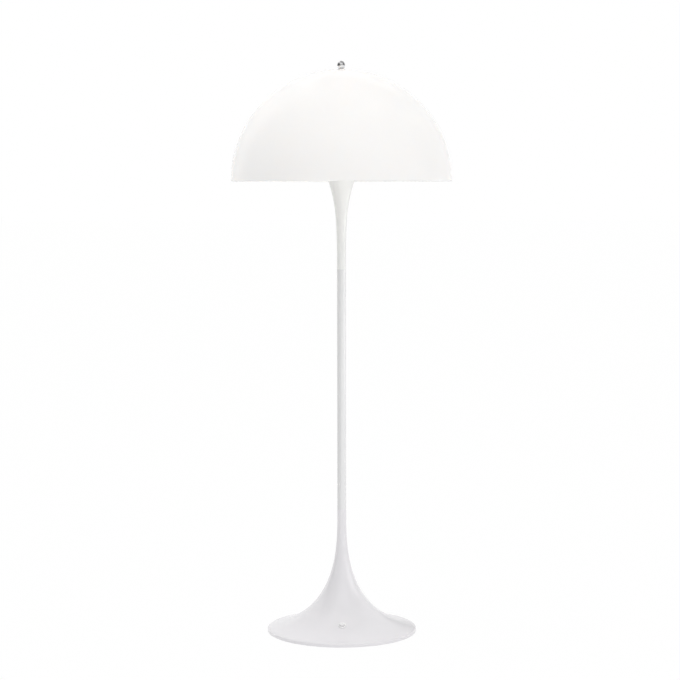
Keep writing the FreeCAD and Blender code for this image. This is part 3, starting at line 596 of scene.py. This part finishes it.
nylon = new_finish("natural_nylon", (0.80, 0.80, 0.78), (0.85, 0.85, 0.84),
                   smooth=0.35, dull=0.5, grain_scale=300.0, grain_depth=0.00003, Subsurface_Weight=0.5,
                   Subsurface_Scale=0.001, Subsurface_Radius=(1.0, 1.0, 0.95))
dress(nylon, "finial_washer")
chrome = new_finish("chrome", (0.88, 0.88, 0.89), (0.92, 0.92, 0.93),
                    smooth=0.04, dull=0.10, grain_scale=300.0, grain_depth=0.000005, handling_scale=60.0,
                    Metallic=1.0)
dress(chrome, "finial_nut")


# --- foot switch ---
# White push-button with a dished top, guided in the switch's barrel. A slim ring nut, finely
# knurled round its side, clamps the barrel in a spot-faced hole in the foot.

switch_white = new_finish("switch_plastic", (0.90, 0.89, 0.90), (0.92, 0.91, 0.92),
                          smooth=0.16, dull=0.28, grain_scale=400.0, grain_depth=0.00002,
                          Subsurface_Weight=1.0, Subsurface_Scale=0.002, Subsurface_Radius=(1.0, 1.0, 1.0))
dress(switch_white, "switch_body", "switch_button")
press = next(joint for joint in frame["joints"] if joint["name"] == "button_press")
out = -np.array(press["axis"], float)
out /= np.linalg.norm(out)
nut_mesh = frame["nodes"]["switch_ring_nut"].data
nut_points = np.zeros(3 * len(nut_mesh.vertices))
nut_mesh.vertices.foreach_get("co", nut_points)
nut_points = nut_points.reshape(-1, 3)
nut_low = nut_points.mean(axis=0)
nut_low += out * ((nut_points @ out).min() - nut_low @ out)
nut_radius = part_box("switch_ring_nut")[1].x
nut_bore = 0.00605
nut_height = 0.002
nut_bevel = 0.0007
crown_radius = nut_radius - nut_bevel
crown_round = 0.0003
crown_drop = 0.0001
small_edge = 0.0002
knurl_count = 60
knurl_depth = 0.00012
knurl_columns = 240
angle = even_angles(knurl_columns)
knurl = nut_radius - knurl_depth * (0.5 + 0.5 * np.cos(knurl_count * angle))[None, :]
radius = stack_rows(nut_bore, nut_radius - small_edge, knurl, knurl, crown_radius, crown_radius - crown_round,
                    nut_bore + small_edge, nut_bore, nut_bore)
height = [0, 0, small_edge, nut_height - nut_bevel, nut_height - crown_drop, nut_height, nut_height,
          nut_height - small_edge, 0]
local = turned_grid(radius, height, knurl_columns)
aside = np.array([1.0, 0, 0])
upward = np.cross(out, aside)
ring = nut_low + local[..., :1] * aside + local[..., 1:2] * upward + local[..., 2:] * out
ring_nut = skin("switch_ring_knurled", [ring], switch_white)
fit(ring_nut, "stand", "switch_plastic", "switch_ring_nut")


# --- leads and grommet ---
# White PVC leads run inside the foot and up the tie tube to the lamp-holder. A soft bush in the
# lip at the back lines the hole where a mains cord comes in.

sheath = new_finish("cable_sheath", (0.72, 0.72, 0.70), (0.78, 0.78, 0.77),
                    smooth=0.4, dull=0.55, grain_scale=600.0, grain_depth=0.00003)
dress(sheath, "cord_grommet", "switch_lead", "lamp_lead")


# --- studio: floor, light and camera ---
# A pale floor and an even white surround carry most of the light. A lamp overhead, a little to the
# left, and a low one at the front right model the form, and grey cards stand round for the gloss.

white_rays = ("Is Camera Ray", "Is Glossy Ray", "Is Transmission Ray")


def seen_white(tree):
    """Value that is 1 for what the camera sees directly or in gloss and glass, and 0 for the light given."""
    path = tree.nodes.new("ShaderNodeLightPath")
    total = path.outputs[white_rays[0]]
    for title in white_rays[1:]:
        higher = tree.nodes.new("ShaderNodeMath")
        higher.operation = "MAXIMUM"
        tree.links.new(total, higher.inputs[0])
        tree.links.new(path.outputs[title], higher.inputs[1])
        total = higher.outputs[0]
    return total


floor_reach = 60.0
floor_grey = 0.90
floor_glow = 0.985
floor_mesh = bpy.data.meshes.new("floor")
corners = [(-floor_reach, -floor_reach, 0), (floor_reach, -floor_reach, 0),
           (floor_reach, floor_reach, 0), (-floor_reach, floor_reach, 0)]
floor_mesh.from_pydata(corners, [], [(0, 1, 2, 3)])
floor = bpy.data.objects.new("floor", floor_mesh)
bpy.context.scene.collection.objects.link(floor)
floor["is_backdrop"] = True

floor_finish = bpy.data.materials.new("studio_floor")
floor_finish.use_nodes = True
tree = floor_finish.node_tree
tree.nodes.clear()
surface = tree.nodes.new("ShaderNodeOutputMaterial")
paint = tree.nodes.new("ShaderNodeBsdfDiffuse")
paint.inputs["Color"].default_value = (floor_grey, floor_grey, floor_grey, 1)
glow = tree.nodes.new("ShaderNodeEmission")
seen = tree.nodes.new("ShaderNodeMath")
seen.operation = "MULTIPLY"
seen.inputs[1].default_value = floor_glow
tree.links.new(seen_white(tree), seen.inputs[0])
mixed = tree.nodes.new("ShaderNodeMixShader")
tree.links.new(seen.outputs[0], mixed.inputs["Fac"])
tree.links.new(paint.outputs[0], mixed.inputs[1])
tree.links.new(glow.outputs[0], mixed.inputs[2])
# Seen from below the floor is clear, so that the lamp's underside shows.
one_sided = tree.nodes.new("ShaderNodeMixShader")
tree.links.new(tree.nodes.new("ShaderNodeNewGeometry").outputs["Backfacing"], one_sided.inputs["Fac"])
tree.links.new(mixed.outputs[0], one_sided.inputs[1])
tree.links.new(tree.nodes.new("ShaderNodeBsdfTransparent").outputs[0], one_sided.inputs[2])
tree.links.new(one_sided.outputs[0], surface.inputs["Surface"])
floor_mesh.materials.append(floor_finish)

world = bpy.data.worlds.new("surround")
bpy.context.scene.world = world
world.use_nodes = True
tree = world.node_tree
sky = tree.nodes["Background"]
sky.inputs["Color"].default_value = (1, 1, 1, 1)
light_path = seen_white(tree)
direction = tree.nodes.new("ShaderNodeTexCoord").outputs["Generated"]


def wash(toward, strength, base):
    """Adds soft light from one side: the dot product with that way, not below zero, times a strength."""
    share = tree.nodes.new("ShaderNodeVectorMath")
    share.operation = "DOT_PRODUCT"
    share.inputs[1].default_value = toward
    above = tree.nodes.new("ShaderNodeMath")
    above.operation = "MAXIMUM"
    above.inputs[1].default_value = 0.0
    added = tree.nodes.new("ShaderNodeMath")
    added.operation = "MULTIPLY_ADD"
    added.inputs[1].default_value = strength
    tree.links.new(direction, share.inputs[0])
    tree.links.new(share.outputs["Value"], above.inputs[0])
    tree.links.new(above.outputs[0], added.inputs[0])
    if isinstance(base, float):
        added.inputs[2].default_value = base
    else:
        tree.links.new(base, added.inputs[2])
    return added.outputs[0]


# The light given by the surround: even, with more from above and a little more from the left.
surround = wash((0, 0, 1), 0.33, 0.63)
surround = wash((-1, 0, 0), 0.05, surround)
strength = tree.nodes.new("ShaderNodeMix")
strength.inputs["B"].default_value = 1.0
tree.links.new(light_path, strength.inputs["Factor"])
tree.links.new(surround, strength.inputs["A"])
tree.links.new(strength.outputs["Result"], sky.inputs["Strength"])


def soft_lamp(name, place, target, width, power):
    """Square area lamp at a place, turned to face a target point."""
    light = bpy.data.lights.new(name, "AREA")
    light.size = width
    light.energy = power
    lamp = bpy.data.objects.new(name, light)
    bpy.context.scene.collection.objects.link(lamp)
    lamp.location = place
    aim = Vector(target) - Vector(place)
    lamp.rotation_euler = aim.to_track_quat("-Z", "Y").to_euler()
    lamp.visible_camera = False
    lamp.visible_glossy = False


soft_lamp("top_lamp", (-1.0, -0.35, 5.0), (0, 0, 0.6), width=1.2, power=28.0)
soft_lamp("low_lamp", (2.0, -2.0, 0.45), (0, 0, 0.4), width=0.6, power=10.0)


def studio_card(name, corners, grey):
    """Flat card that shows only in gloss, at one even grey."""
    card_mesh = bpy.data.meshes.new(name)
    card_mesh.from_pydata(corners, [], [(0, 1, 2, 3)])
    card = bpy.data.objects.new(name, card_mesh)
    bpy.context.scene.collection.objects.link(card)
    card.visible_camera = False
    card.visible_diffuse = False
    card.visible_shadow = False
    card.visible_transmission = False
    even = bpy.data.materials.new(name)
    even.use_nodes = True
    shader = even.node_tree.nodes["Principled BSDF"]
    shader.inputs["Base Color"].default_value = (0, 0, 0, 1)
    shader.inputs["Specular IOR Level"].default_value = 0.0
    shader.inputs["Emission Color"].default_value = (grey, grey, grey, 1)
    shader.inputs["Emission Strength"].default_value = 1.0
    card_mesh.materials.append(even)
    card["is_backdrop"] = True


def upright(first, last, low_z, high_z):
    """Corners of an upright card from one floor point to another."""
    return [(*first, low_z), (*last, low_z), (*last, high_z), (*first, high_z)]


studio_card("low_left_card", upright((-0.45, -1.95), (-1.73, 1.0), 0.0, 1.0), grey=0.0)
studio_card("low_right_card", upright((1.4, -0.9), (1.5, 0.4), 0.35, 0.98), grey=2.0)
studio_card("high_left_card", upright((-0.75, -1.30), (-1.45, 0.60), 1.0, 2.15), grey=0.11)
studio_card("upper_left_card", upright((-0.75, -1.30), (-1.45, 0.60), 2.15, 3.2), grey=0.50)
studio_card("high_right_card", upright((1.20, -1.35), (1.75, 0.60), 1.0, 3.2), grey=0.22)
studio_card("rear_card", upright((0.30, 3.0), (1.10, 2.9), 0.50, 1.0), grey=0.40)
studio_card("front_card", upright((-2.8, -5.2), (4.0, -5.2), 0.5, 4.6), grey=0.52)
ceiling = [(-0.6, -1.6, 3.2), (1.9, -1.6, 3.2), (1.9, 1.6, 3.2), (-0.6, 1.6, 3.2)]
studio_card("ceiling_card", ceiling, grey=0.38)

camera_data = bpy.data.cameras.new("camera")
camera_data.sensor_width = 36.0
camera_data.lens = 99.1
camera = bpy.data.objects.new("camera", camera_data)
bpy.context.scene.collection.objects.link(camera)
camera.location = (-0.0030, -4.2591, 1.0129)
camera.rotation_euler = (math.radians(85.432), math.radians(0.08), 0)
bpy.context.scene.camera = camera
bpy.context.scene.view_settings.view_transform = "Standard"

low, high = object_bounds()
